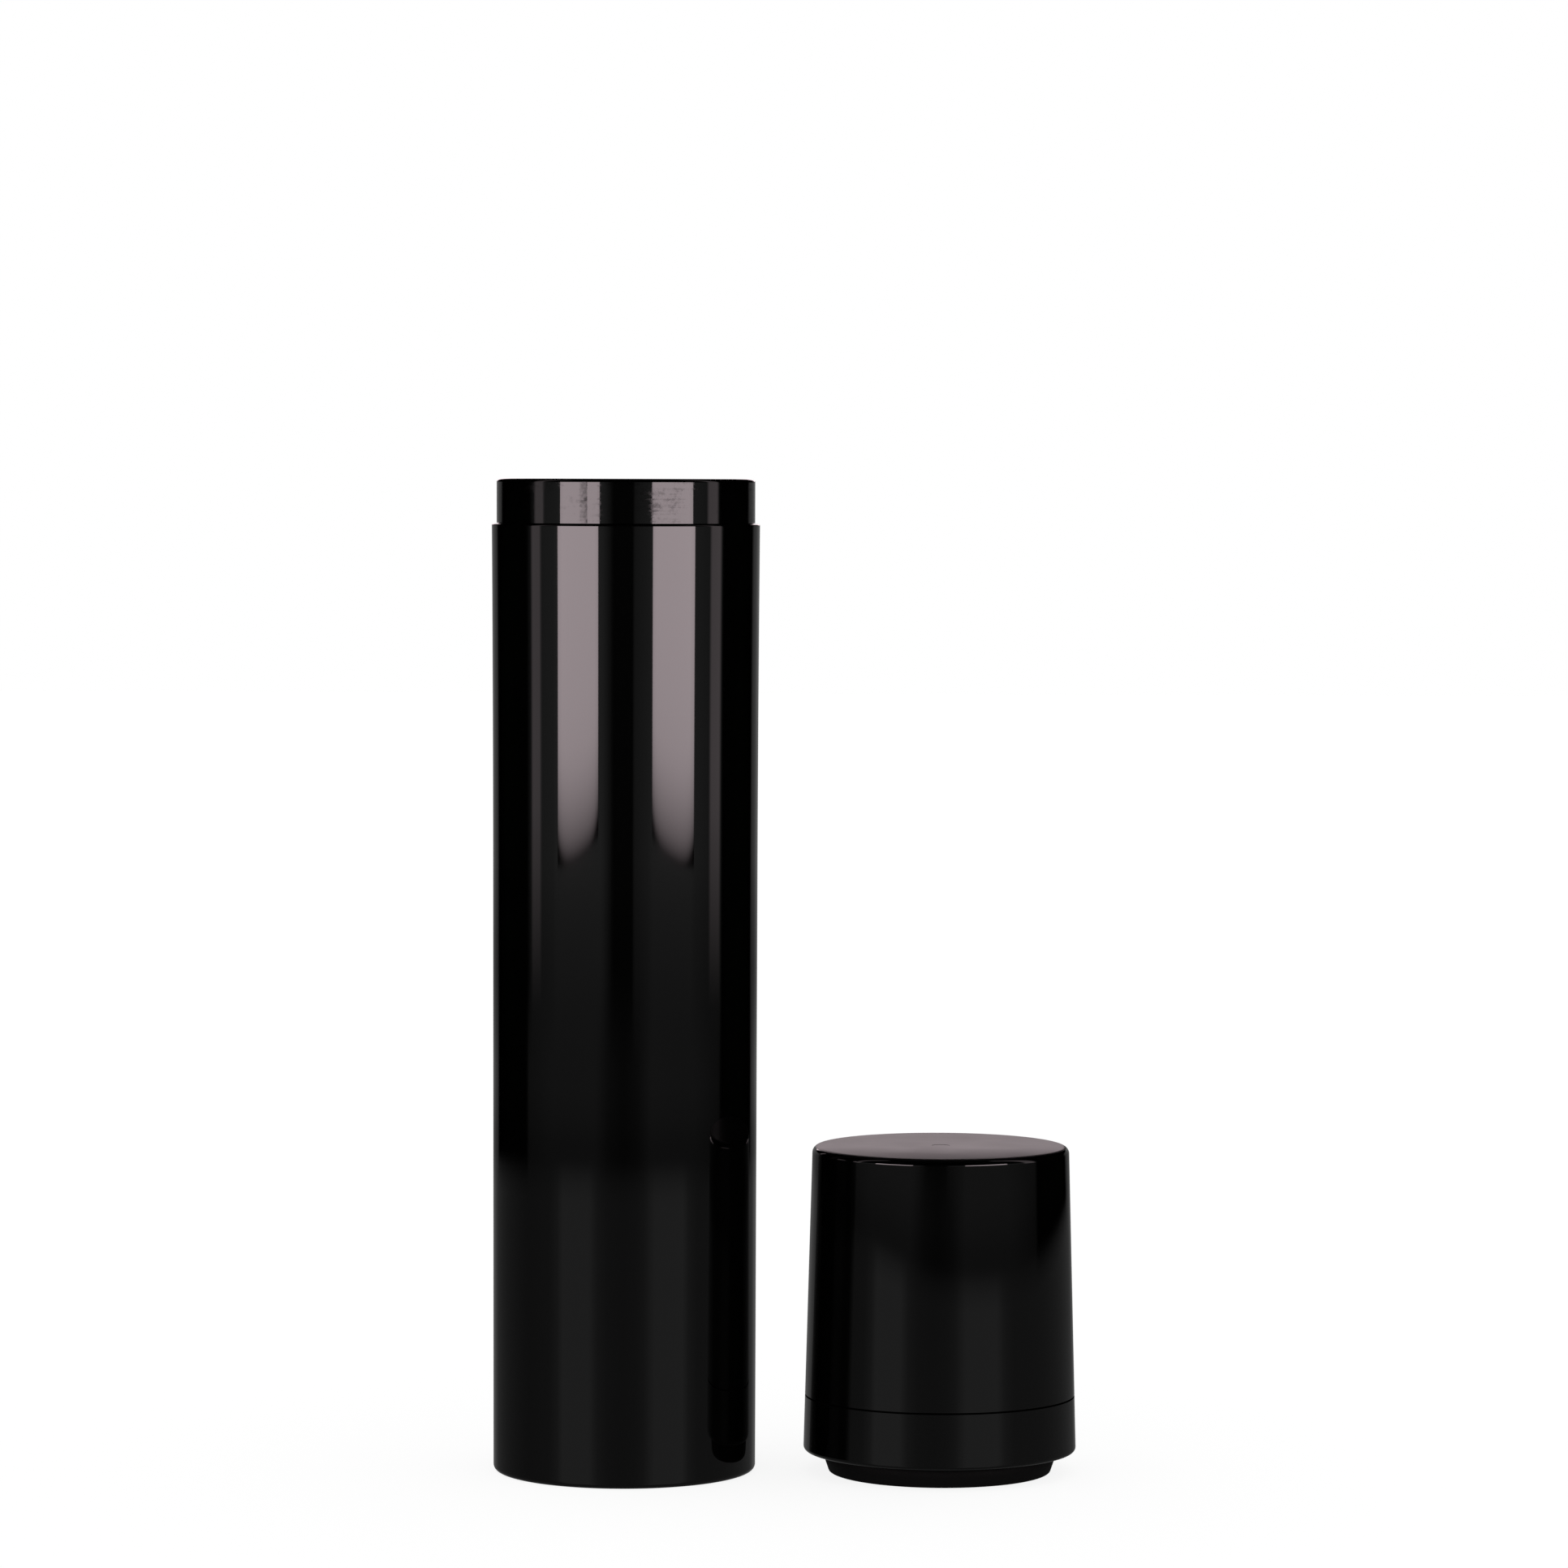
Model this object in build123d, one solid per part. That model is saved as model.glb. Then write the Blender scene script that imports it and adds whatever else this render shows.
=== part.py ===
"""A tall moulded canister with a push-on stopper lid that stands beside it.

Millimetres, +Z up. The origin is the centre of the canister's flat foot.
The canister is a gloss outer shell with a liner dropped into it; the liner's
top is the stepped-in neck. The lid is a tall cover over a collar, with a plug
trapped between them and a soft ring round the plug.
"""

from build123d import *
import math
import os

# ---------------------------------------------------------------- canister
canister_height = 133.6      # foot to the top of the neck
shoulder_diameter = 36.0     # widest part of the shell, at its rim
shoulder_step = 0.65         # how far the neck stands in from the shoulder
neck_height = 6.05           # shoulder to the top of the neck
neck_wall = 1.75             # neck, from its outside to the bore
neck_top_round = 0.45        # outer corner of the neck's top
mouth_round = 0.5            # inner corner of the neck's top, which leads the plug in
seam_relief = 0.15           # small bevel under the neck, the line at the step
shoulder_round = 0.2         # outer corner of the shell's rim

waist_height = 80.0          # the wall is nearly straight below this, and flares above
waist_inset = 0.21           # how far the waist stands in from the shoulder
foot_inset = 0.32            # how far the foot stands in from the shoulder
foot_round = 0.8             # corner between the wall and the foot
shell_wall = 1.1             # shell, at its rim and at its foot
shell_floor = 1.3
shell_inner_round = 1.0      # corner inside the shell's floor

liner_gap = 0.2              # air between the shell and the liner, all round
liner_wall = 1.0             # liner, at its lower end
liner_floor = 1.1
liner_floor_gap = 0.2        # the liner hangs from the shoulder, clear of the floor
bore_floor_round = 1.5       # corner inside the liner's floor
seal_land_length = 12.0      # straight bore under the mouth, before the draft begins

spigot_length = 9.0          # thick top of the liner, inside the shell's rim
spigot_clearance = 0.05      # liner to shell there, each side
snap_bead_drop = 5.0         # shoulder to the middle of the snap bead
snap_bead_width = 1.2
snap_bead_height = 0.2
snap_clearance = 0.05        # bead to its groove, each way

# --------------------------------------------------------------------- lid
lid_height = 41.2            # rim to the top face
lid_draft_angle = 1.543      # degrees, each side, narrowing upwards
rim_overhang = 0.38          # how far the lid's rim stands out from the shoulder
rim_round = 0.6              # outer corner of the rim
rim_bevel = 0.2              # inner corner of the rim, which leads the neck in
lid_top_round = 0.9          # corner between the lid's side and its top face
gate_dimple_diameter = 2.4   # shallow mark where the cover was filled
gate_dimple_depth = 0.06

neck_clearance = 0.1         # collar to neck, each side
neck_top_clearance = 0.15    # collar's flange to the top of the neck, when closed
flange_thickness = 1.45      # collar's flange
seam_width = 0.22            # open line between the collar and the cover
seam_depth = 1.0

cover_wall = 1.2
cover_roof = 1.6
cover_inner_round = 1.0
collar_spigot_height = 5.0   # ring on the collar, inside the cover
collar_spigot_wall = 0.8
collar_spigot_clearance = 0.05
collar_bead_height = 0.2
collar_bead_width = 1.2
collar_bead_rise = 3.0       # seam to the middle of the bead

rib_count = 6                # ribs under the cover's roof, which hold the plug down
rib_thickness = 1.0
rib_depth = 2.6              # from the cover's wall inwards
rib_clearance = 0.05         # rib to the plug and to the collar's ring

plug_projection = 2.85       # how far the plug stands below the rim
plug_clearance = 0.1         # plug to bore, each side
plug_hole_clearance = 0.05   # plug to the hole in the collar, each side
plug_floor = 1.2
plug_flange_thickness = 1.0
plug_flange_clearance = 0.05
plug_lead_in_height = 1.7    # tapered lower end of the plug
plug_lead_in_depth = 0.58
plug_edge_round = 0.35       # corner between the lead-in and the flat end
plug_inner_round = 0.8

seal_section = 1.2           # thickness of the soft ring
seal_squeeze = 0.1           # how far the ring presses into the bore when closed
seal_drop = 3.6              # top of the neck to the middle of the ring, when closed
seal_groove_clearance = 0.05
seal_wall = 1.0              # plug left behind the ring's groove

# ------------------------------------------------------ where the lid stands
standing_gap = 6.18          # open space between the shoulder and the lid's rim, sideways
standing_forward = 0.8       # how far the lid stands in front of the canister's middle

# --------------------------------------------------------- worked-out sizes
shoulder_radius = shoulder_diameter / 2
shoulder_height = canister_height - neck_height
waist_radius = shoulder_radius - waist_inset
foot_radius = shoulder_radius - foot_inset
neck_radius = shoulder_radius - shoulder_step
bore_radius = neck_radius - neck_wall

shell_mouth_radius = shoulder_radius - shell_wall
shell_foot_inner_radius = foot_radius - shell_wall
liner_foot_radius = shell_foot_inner_radius - liner_gap
bore_foot_radius = liner_foot_radius - liner_wall
liner_foot_height = shell_floor + liner_floor_gap
bore_floor_height = liner_foot_height + liner_floor
spigot_radius = shell_mouth_radius - spigot_clearance
snap_bead_z = shoulder_height - snap_bead_drop

rim_radius = shoulder_radius + rim_overhang
lid_x = shoulder_radius + standing_gap + rim_radius
lid_slope = math.tan(math.radians(lid_draft_angle))
rim_z = plug_projection
lid_top_z = rim_z + lid_height
flange_z = rim_z + neck_height + neck_top_clearance
seam_z = flange_z + flange_thickness
skirt_radius = neck_radius + neck_clearance

collar_bead_z = seam_z + collar_bead_rise
collar_ring_top_z = seam_z + collar_spigot_height
roof_z = lid_top_z - cover_roof

plug_radius = bore_radius - plug_clearance
plug_hole_radius = plug_radius + plug_hole_clearance
seal_radius = bore_radius + seal_squeeze
seal_groove_radius = seal_radius - seal_section
plug_inner_radius = seal_groove_radius - seal_wall
seal_z = rim_z + neck_height - seal_drop
plug_top_z = seam_z + plug_flange_thickness


# ------------------------------------------------------------------ helpers
def corner(section, radius, height):
    """The corner of a section nearest to a radius and a height."""
    return section.vertices().sort_by_distance((radius, height))[0]


def rounded(section, rounds):
    """A section with corners rounded, each given as (radius, height, size)."""
    for radius, height, size in rounds:
        section = fillet(corner(section, radius, height), size)
    return section


def outline(points, rounds=()):
    """A closed section of (radius, height) points, with some corners rounded."""
    return rounded(make_face(Polyline(*points, close=True)), rounds)


def turned(section):
    """A section turned once round the Z axis."""
    return revolve(Plane.XZ * section, Axis.Z)


def bead(radius, height, width, depth):
    """A shallow rib round a cylinder, buried in its wall as deep as it stands out."""
    points = [
        (radius - depth, height - width / 2),
        (radius, height - width / 2),
        (radius + depth, height - width / 4),
        (radius + depth, height + width / 4),
        (radius, height + width / 2),
        (radius - depth, height + width / 2),
    ]
    return turned(outline(points))


def lid_side_radius(height):
    """Radius of the lid's sloping side at a height."""
    return rim_radius - (height - rim_z) * lid_slope


def cover_inner_radius(height):
    """Radius of the cover's inner wall at a height."""
    return lid_side_radius(height) - cover_wall


def ring_outer_radius(height):
    """Radius of the collar's ring, where it fits inside the cover."""
    return cover_inner_radius(height) - collar_spigot_clearance


ring_inner_radius = ring_outer_radius(collar_ring_top_z) - collar_spigot_wall
plug_flange_radius = ring_inner_radius - plug_flange_clearance


# ----------------------------------------------------------------- canister
def make_outer_shell():
    """Gloss cup: nearly straight wall, a faint flare to the rim, rounded foot."""
    foot = (foot_radius, 0)
    waist = (waist_radius, waist_height)
    rim = (shoulder_radius, shoulder_height)
    draft = (waist_radius - foot_radius, waist_height)
    wall = Line(foot, waist) + TangentArc(waist, rim, tangent=draft)
    inside = Polyline(
        rim,
        (shell_mouth_radius, shoulder_height),
        (shell_foot_inner_radius, shell_floor),
        (0, shell_floor),
        (0, 0),
        foot,
    )
    rounds = [
        (foot_radius, 0, foot_round),
        (shoulder_radius, shoulder_height, shoulder_round),
        (shell_foot_inner_radius, shell_floor, shell_inner_round),
    ]
    shell = turned(rounded(make_face(wall + inside), rounds))
    groove = bead(
        shell_inner_radius(snap_bead_z),
        snap_bead_z,
        snap_bead_width + 2 * snap_clearance,
        snap_bead_height + snap_clearance,
    )
    return shell - groove


def shell_inner_radius(height):
    """Radius of the shell's inner wall at a height."""
    share = (height - shell_floor) / (shoulder_height - shell_floor)
    return shell_foot_inner_radius + share * (shell_mouth_radius - shell_foot_inner_radius)


def make_inner_liner():
    """Cup inside the shell, with the neck standing on the shell's rim."""
    spigot_foot_z = shoulder_height - spigot_length
    land_foot_z = canister_height - seal_land_length
    spigot_foot_radius = shell_inner_radius(spigot_foot_z)
    points = [
        (0, liner_foot_height),
        (liner_foot_radius, liner_foot_height),
        (spigot_foot_radius - liner_gap, spigot_foot_z - liner_gap),
        (spigot_foot_radius - spigot_clearance, spigot_foot_z),
        (spigot_radius, shoulder_height),
        (neck_radius - seam_relief, shoulder_height),
        (neck_radius, shoulder_height + seam_relief),
        (neck_radius, canister_height),
        (bore_radius, canister_height),
        (bore_radius, land_foot_z),
        (bore_foot_radius, bore_floor_height),
        (0, bore_floor_height),
    ]
    rounds = [
        (neck_radius, canister_height, neck_top_round),
        (bore_radius, canister_height, mouth_round),
        (bore_foot_radius, bore_floor_height, bore_floor_round),
        (liner_foot_radius, liner_foot_height, shell_inner_round),
    ]
    liner = turned(outline(points, rounds))
    snap = bead(
        shell_inner_radius(snap_bead_z) - spigot_clearance,
        snap_bead_z,
        snap_bead_width,
        snap_bead_height,
    )
    return liner + snap


# --------------------------------------------------------------------- lid
def make_lid_collar():
    """Band below the seam: a skirt over the neck, a flange and a ring above it."""
    points = [
        (skirt_radius, rim_z),
        (rim_radius, rim_z),
        (lid_side_radius(seam_z - seam_width), seam_z - seam_width),
        (lid_side_radius(seam_z) - seam_depth, seam_z - seam_width),
        (lid_side_radius(seam_z) - seam_depth, seam_z),
        (ring_outer_radius(seam_z), seam_z),
        (ring_outer_radius(collar_ring_top_z), collar_ring_top_z),
        (ring_inner_radius, collar_ring_top_z),
        (ring_inner_radius, seam_z),
        (plug_hole_radius, seam_z),
        (plug_hole_radius, flange_z),
        (skirt_radius, flange_z),
    ]
    section = outline(points, [(rim_radius, rim_z, rim_round)])
    section = chamfer(corner(section, skirt_radius, rim_z), rim_bevel)
    snap = bead(
        ring_outer_radius(collar_bead_z),
        collar_bead_z,
        collar_bead_width,
        collar_bead_height,
    )
    return turned(section) + snap


def make_hold_down_rib():
    """One rib under the roof. Its foot reaches past the collar's ring to the plug."""
    foot_radius_out = ring_inner_radius - rib_clearance
    foot_radius_in = foot_radius_out - rib_depth
    shelf_z = collar_ring_top_z + rib_clearance
    foot_z = plug_top_z + rib_clearance
    buried_wall = cover_wall / 2
    buried_roof = cover_roof / 2
    points = [
        (foot_radius_in, foot_z),
        (foot_radius_out, foot_z),
        (foot_radius_out, shelf_z),
        (cover_inner_radius(shelf_z) + buried_wall, shelf_z),
        (cover_inner_radius(roof_z) + buried_wall, roof_z),
        (cover_inner_radius(roof_z), roof_z + buried_roof),
        (foot_radius_in, roof_z + buried_roof),
    ]
    return extrude(Plane.XZ * outline(points), rib_thickness / 2, both=True)


def make_lid_cover():
    """Tall tapered cup above the seam, with a satin top and ribs inside it."""
    points = [
        (cover_inner_radius(seam_z), seam_z),
        (lid_side_radius(seam_z), seam_z),
        (lid_side_radius(lid_top_z), lid_top_z),
        (0, lid_top_z),
        (0, roof_z),
        (cover_inner_radius(roof_z), roof_z),
    ]
    rounds = [
        (lid_side_radius(lid_top_z), lid_top_z, lid_top_round),
        (cover_inner_radius(roof_z), roof_z, cover_inner_round),
    ]
    cover = turned(outline(points, rounds))
    groove = bead(
        cover_inner_radius(collar_bead_z),
        collar_bead_z,
        collar_bead_width + 2 * snap_clearance,
        collar_bead_height + snap_clearance,
    )
    cover -= groove
    for number in range(rib_count):
        cover += Rot(0, 0, 360 * number / rib_count) * make_hold_down_rib()
    dimple = Pos(0, 0, lid_top_z) * Cylinder(gate_dimple_diameter / 2, 2 * gate_dimple_depth)
    return cover - dimple


def make_lid_plug():
    """Matte stopper: a cup with a tapered closed end and a flange on the collar."""
    groove_half = seal_section / 2 + seal_groove_clearance
    points = [
        (0, 0),
        (plug_radius - plug_lead_in_depth, 0),
        (plug_radius, plug_lead_in_height),
        (plug_radius, seal_z - groove_half),
        (seal_groove_radius, seal_z - groove_half),
        (seal_groove_radius, seal_z + groove_half),
        (plug_radius, seal_z + groove_half),
        (plug_radius, seam_z),
        (plug_flange_radius, seam_z),
        (plug_flange_radius, plug_top_z),
        (plug_inner_radius, plug_top_z),
        (plug_inner_radius, plug_floor),
        (0, plug_floor),
    ]
    rounds = [
        (plug_radius - plug_lead_in_depth, 0, plug_edge_round),
        (plug_radius, plug_lead_in_height, plug_lead_in_height),
        (plug_inner_radius, plug_floor, plug_inner_round),
    ]
    return turned(outline(points, rounds))


def make_seal_ring():
    """Soft ring in the plug's groove, as it sits before it is squeezed."""
    centre_radius = seal_radius - seal_section / 2
    return Pos(0, 0, seal_z) * Torus(centre_radius, seal_section / 2)


# ------------------------------------------------------------------- output
def write_parts():
    """One STEP file for each piece, where it stands at rest."""
    beside = Pos(lid_x, -standing_forward, 0)
    pieces = {
        "outer_shell": make_outer_shell(),
        "inner_liner": make_inner_liner(),
        "lid_cover": beside * make_lid_cover(),
        "lid_collar": beside * make_lid_collar(),
        "lid_plug": beside * make_lid_plug(),
        "seal_ring": beside * make_seal_ring(),
    }
    os.makedirs("parts", exist_ok=True)
    for name, piece in pieces.items():
        export_step(piece, f"parts/{name}.step")


write_parts()
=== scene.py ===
"""Models and finishes a gloss black moulded canister with its stopper lid beside it.

Metres, in the frame of the packed model: the canister's foot is at the origin,
+Z is up, and the lid stands on the +X side. The camera looks along +Y.

The file is laid out as an add-on. Each round piece is drawn out of a disc, by
extruding and scaling its face through the piece's section, as it would be by hand.
"""
import math

import bmesh
import bpy
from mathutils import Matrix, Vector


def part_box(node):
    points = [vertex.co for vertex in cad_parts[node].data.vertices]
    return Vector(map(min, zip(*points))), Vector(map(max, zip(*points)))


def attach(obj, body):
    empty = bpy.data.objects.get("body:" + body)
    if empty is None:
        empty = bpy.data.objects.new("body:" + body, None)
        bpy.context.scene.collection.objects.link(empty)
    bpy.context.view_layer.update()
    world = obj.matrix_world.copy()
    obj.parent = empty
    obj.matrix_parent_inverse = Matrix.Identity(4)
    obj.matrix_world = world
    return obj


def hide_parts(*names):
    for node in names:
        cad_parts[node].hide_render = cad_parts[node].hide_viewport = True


bl_info = {
    "name": "Stopper-lid canister",
    "version": (1, 0, 0),
    "blender": (4, 5, 0),
    "location": "View3D > Sidebar > Canister",
    "description": "Models a moulded canister and its stopper lid, and sets up the studio",
    "category": "Object",
}

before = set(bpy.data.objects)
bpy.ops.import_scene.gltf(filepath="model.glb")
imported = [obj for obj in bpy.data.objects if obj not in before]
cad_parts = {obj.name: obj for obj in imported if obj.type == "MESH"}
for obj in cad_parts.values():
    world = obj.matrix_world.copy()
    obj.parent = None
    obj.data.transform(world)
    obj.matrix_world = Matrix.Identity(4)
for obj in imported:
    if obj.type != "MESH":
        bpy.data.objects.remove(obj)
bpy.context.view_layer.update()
MM = 0.001

# Places read from the packed model.
SHELL_LOW, SHELL_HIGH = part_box("outer_shell")
LINER_LOW, LINER_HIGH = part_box("inner_liner")
COVER_LOW, COVER_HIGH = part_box("lid_cover")
COLLAR_LOW, COLLAR_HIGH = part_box("lid_collar")
PLUG_LOW, PLUG_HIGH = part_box("lid_plug")
RING_LOW, RING_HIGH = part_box("seal_ring")
CANISTER_MIDDLE = (0.0, 0.0)
LID_MIDDLE = ((COLLAR_LOW.x + COLLAR_HIGH.x) / 2, (COLLAR_LOW.y + COLLAR_HIGH.y) / 2)
SEAM_Z = COVER_LOW.z
RIM_Z = COLLAR_LOW.z

# Sides of every round piece. A multiple of four puts corners on the frame's axes.
SIDES = 256
# Faces that meet at less than this angle are shaded as one smooth surface.
SMOOTH_ANGLE = math.radians(32)


# ------------------------------------------------------------------- settings
def length(name, description, millimetres):
    """A length that a user may change, given here in millimetres."""
    return bpy.props.FloatProperty(
        name=name, description=description, default=millimetres * MM,
        min=0.0, unit="LENGTH", precision=5,
    )


def colour(name, description, hex_colour):
    """A colour that a user may change, given here as sRGB hex."""
    return bpy.props.FloatVectorProperty(
        name=name, description=description, default=linear(hex_colour)[:3],
        size=3, min=0.0, max=1.0, subtype="COLOR",
    )


def level(name, description, default, highest=1.0):
    """A plain number, such as a roughness or a brightness."""
    return bpy.props.FloatProperty(
        name=name, description=description, default=default, min=0.0, max=highest,
    )


def linear(hex_colour):
    """An sRGB hex colour such as "#0a0a0b" as linear red, green, blue and alpha."""
    channels = [int(hex_colour[i:i + 2], 16) / 255 for i in (1, 3, 5)]
    return [c / 12.92 if c <= 0.04045 else ((c + 0.055) / 1.055) ** 2.4 for c in channels] + [1.0]


class CanisterSizes(bpy.types.PropertyGroup):
    """Sizes of the canister's shell and liner."""

    foot_inset: length("Foot inset", "How far the foot stands in from the shoulder", 0.32)
    foot_round: length("Foot round", "Corner between the wall and the foot", 0.8)
    waist_height: length("Waist height", "Above this the wall flares to the shoulder", 80.0)
    waist_inset: length("Waist inset", "How far the waist stands in from the shoulder", 0.21)
    shoulder_round: length("Shoulder round", "Outer corner of the shell's rim", 0.2)
    shell_wall: length("Shell wall", "Thickness of the outer shell", 1.1)
    shell_floor: length("Shell floor", "Thickness of the shell's floor", 1.3)
    inner_round: length("Inner round", "Corners inside the shell and under the liner", 1.0)
    shoulder_step: length("Shoulder step", "How far the neck stands in from the shoulder", 0.65)
    seam_relief: length("Seam relief", "Small bevel under the neck, at the step", 0.15)
    neck_wall: length("Neck wall", "From the neck's outside to the bore", 1.75)
    neck_round: length("Neck round", "Outer corner of the neck's top", 0.45)
    mouth_round: length("Mouth round", "Inner corner of the neck's top", 0.5)
    seal_land: length("Seal land", "Straight bore under the mouth", 12.0)
    liner_gap: length("Liner gap", "Air between the shell and the liner", 0.2)
    liner_wall: length("Liner wall", "Thickness of the liner at its lower end", 1.0)
    liner_floor: length("Liner floor", "Thickness of the liner's floor", 1.1)
    bore_round: length("Bore round", "Corner inside the liner's floor", 1.5)
    spigot: length("Spigot", "Thick top of the liner, inside the shell's rim", 9.0)
    fit: length("Fit", "Clearance of the moulded fits, each side", 0.05)
    bead_drop: length("Bead drop", "Shoulder to the middle of the snap bead", 5.0)
    bead_width: length("Bead width", "Height of the snap bead's foot", 1.2)
    bead_height: length("Bead height", "How far the snap bead stands out", 0.2)


class LidSizes(bpy.types.PropertyGroup):
    """Sizes of the lid's cover, collar, plug and ring."""

    draft: bpy.props.FloatProperty(
        name="Draft", description="Slope of the lid's side, narrowing upwards",
        default=math.radians(1.543), min=0.0, subtype="ANGLE", precision=4,
    )
    top_round: length("Top round", "Corner between the lid's side and its top", 0.9)
    rim_round: length("Rim round", "Outer corner of the rim", 0.6)
    rim_bevel: length("Rim bevel", "Inner corner of the rim", 0.2)
    edge_break: length("Edge break", "Worn corner of each edge at the seam", 0.02)
    crown: length("Crown", "How far the top falls from its middle to its edge", 0.04)
    gate_radius: length("Gate radius", "Shallow mark where the cover was filled", 1.2)
    gate_depth: length("Gate depth", "How far the gate's mark is sunk", 0.03)
    seam_width: length("Seam width", "Open line between the collar and the cover", 0.22)
    seam_depth: length("Seam depth", "How deep the open line is", 1.0)
    cover_wall: length("Cover wall", "Thickness of the cover's side", 1.2)
    cover_roof: length("Cover roof", "Thickness of the cover's top", 1.6)
    cover_round: length("Cover round", "Corner inside the cover's roof", 1.0)
    skirt_radius: length("Skirt radius", "Inside of the collar, round the neck", 17.45)
    flange: length("Flange", "Thickness of the collar's flange", 1.45)
    ring_wall: length("Ring wall", "Thickness of the collar's ring, inside the cover", 0.8)
    bead_rise: length("Bead rise", "Seam to the middle of the collar's bead", 3.0)
    rib_thickness: length("Rib thickness", "Thickness of a hold-down rib", 1.0)
    rib_depth: length("Rib depth", "How far a hold-down rib reaches inwards", 2.6)
    rib_buried: length("Rib buried", "How far a rib runs into the cover's wall", 0.2)
    plug_radius: length("Plug radius", "Outside of the plug", 15.5)
    plug_wall: length("Plug wall", "Plug left behind the ring's groove", 1.0)
    plug_floor: length("Plug floor", "Thickness of the plug's closed end", 1.2)
    plug_flange: length("Plug flange", "Thickness of the plug's flange", 1.0)
    plug_round: length("Plug round", "Corner inside the plug's closed end", 0.8)
    lead_in_height: length("Lead-in height", "Tapered lower end of the plug", 1.7)
    lead_in_depth: length("Lead-in depth", "How far the lower end tapers in", 0.58)
    lead_in_edge: length("Lead-in edge", "Corner at the plug's flat end", 0.25)
    lead_in_blend: length("Lead-in blend", "Corner between the taper and the side", 0.28)
    ring_groove: length("Ring groove", "Radius at the bottom of the ring's groove", 14.5)
    groove_fit: length("Groove fit", "Clearance above and below the ring", 0.05)

    ribs: bpy.props.IntProperty(
        name="Ribs", description="Hold-down ribs under the cover's roof", default=6, min=3, max=12,
    )


class Finishes(bpy.types.PropertyGroup):
    """Colours and polish of the plastics."""

    shell_colour: colour("Shell colour", "Pigment of the gloss shell", "#020202")
    cover_colour: colour("Cover colour", "Pigment of the lid's cover and collar", "#020202")
    liner_colour: colour("Liner colour", "Pigment of the liner and its neck", "#020202")
    plug_colour: colour("Plug colour", "Pigment of the plug", "#080808")
    ring_colour: colour("Ring colour", "Pigment of the soft ring", "#2b2c2e")
    polish: level("Polish", "Roughness left by a polished mould", 0.03)
    rub: level("Rub", "Roughness of the rubbed marks on the neck", 0.4)
    satin: level("Satin", "Roughness of the cover's satin top", 0.36)
    seam: level("Seam", "Roughness of the unpolished faces inside the seam", 0.7)
    matte: level("Matte", "Roughness of the plug's sparked skin", 0.72)


class StudioSettings(bpy.types.PropertyGroup):
    """Light, floor and camera."""

    backdrop: colour("Backdrop", "Colour of the floor and the background", "#ffffff")
    box_colour: colour("Softbox colour", "Colour of the two softboxes", "#ffedf2")
    box_brightness: level("Softbox brightness", "Brightness of the two softboxes", 6.7, 50.0)
    box_foot: length("Softbox foot", "Height at which the softboxes begin", 53.0)
    box_top: length("Softbox top", "Height at which the softboxes end", 144.0)
    sheet_brightness: level("Sheet brightness", "Brightness of the white sheet behind", 2.05, 50.0)
    # The flags, the dim table and the cards over and under glow in this tint: painted reflections.
    flag_colour: colour("Flag colour", "Tint of the light that the flags give back", "#ffffff")
    table_radius: length("Table radius", "Distance of the dim table's far edge", 350.0)
    flag_radius: length("Flag radius", "Distance of the dark flags round the set", 600.0)
    flag_height: length("Flag height", "Height of the dark flags", 1200.0)
    flag_depth: length("Flag depth", "How far the flags go down below the floor", 300.0)
    lens: bpy.props.FloatProperty(
        name="Lens", description="Focal length of the camera in millimetres", default=141.04, min=10.0,
    )
    camera_side: length("Camera side", "How far the camera stands to the lid's side", 21.3)
    camera_distance: length("Camera distance", "How far the camera stands in front", 824.8)
    camera_height: length("Camera height", "Height of the camera", 133.6)
    camera_tilt: bpy.props.FloatProperty(
        name="Camera tilt", description="How far the camera looks down",
        default=math.radians(2.84), subtype="ANGLE",
    )
    camera_lean: bpy.props.FloatProperty(
        name="Lean", description="How far the camera leans over to its left",
        default=math.radians(0.175), subtype="ANGLE",
    )


GROUPS = {
    "canister_sizes": CanisterSizes,
    "canister_lid": LidSizes,
    "canister_finishes": Finishes,
    "canister_studio": StudioSettings,
}


# ------------------------------------------------------------------ modelling
def start_disc(name, centre, radius, height):
    """Adds a one-faced disc and leaves it in edit mode, selected, ready to be drawn out."""
    bpy.ops.object.select_all(action="DESELECT")
    bpy.ops.mesh.primitive_circle_add(
        vertices=SIDES, radius=radius, fill_type="NGON", location=(*centre, height),
    )
    piece = bpy.context.object
    piece.name = piece.data.name = name
    bpy.ops.object.transform_apply(location=True, rotation=True, scale=True)
    bpy.ops.object.mode_set(mode="EDIT")
    bpy.ops.mesh.select_mode(type="FACE")
    bpy.ops.mesh.select_all(action="SELECT")
    return piece


def draw_out(centre, section):
    """Extrudes the selected face along a section of (radius, height) points."""
    for (radius, height), (next_radius, next_height) in zip(section, section[1:]):
        bpy.ops.mesh.extrude_region_move(
            TRANSFORM_OT_translate={"value": (0, 0, next_height - height)},
        )
        share = next_radius / radius
        bpy.ops.transform.resize(value=(share, share, 1), center_override=(*centre, next_height))


def draw_piece(name, centre, section):
    """A round piece drawn out of a disc. It is left in edit mode."""
    piece = start_disc(name, centre, *section[0])
    draw_out(centre, section)
    return piece


def select_ring(piece, centre, radius, height, reach=1e-5):
    """Selects the edges that run round the axis at one radius and height."""
    bpy.ops.mesh.select_mode(type="EDGE")
    bpy.ops.mesh.select_all(action="DESELECT")
    mesh = bmesh.from_edit_mesh(piece.data)

    def on_ring(vertex):
        across = math.dist(vertex.co.xy, centre)
        return abs(across - radius) < reach and abs(vertex.co.z - height) < reach

    found = [edge for edge in mesh.edges if all(on_ring(v) for v in edge.verts)]
    if not found:
        raise RuntimeError(f"{piece.name} has no ring at {radius}, {height}")
    for edge in found:
        edge.select_set(True)
    bmesh.update_edit_mesh(piece.data)


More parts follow.
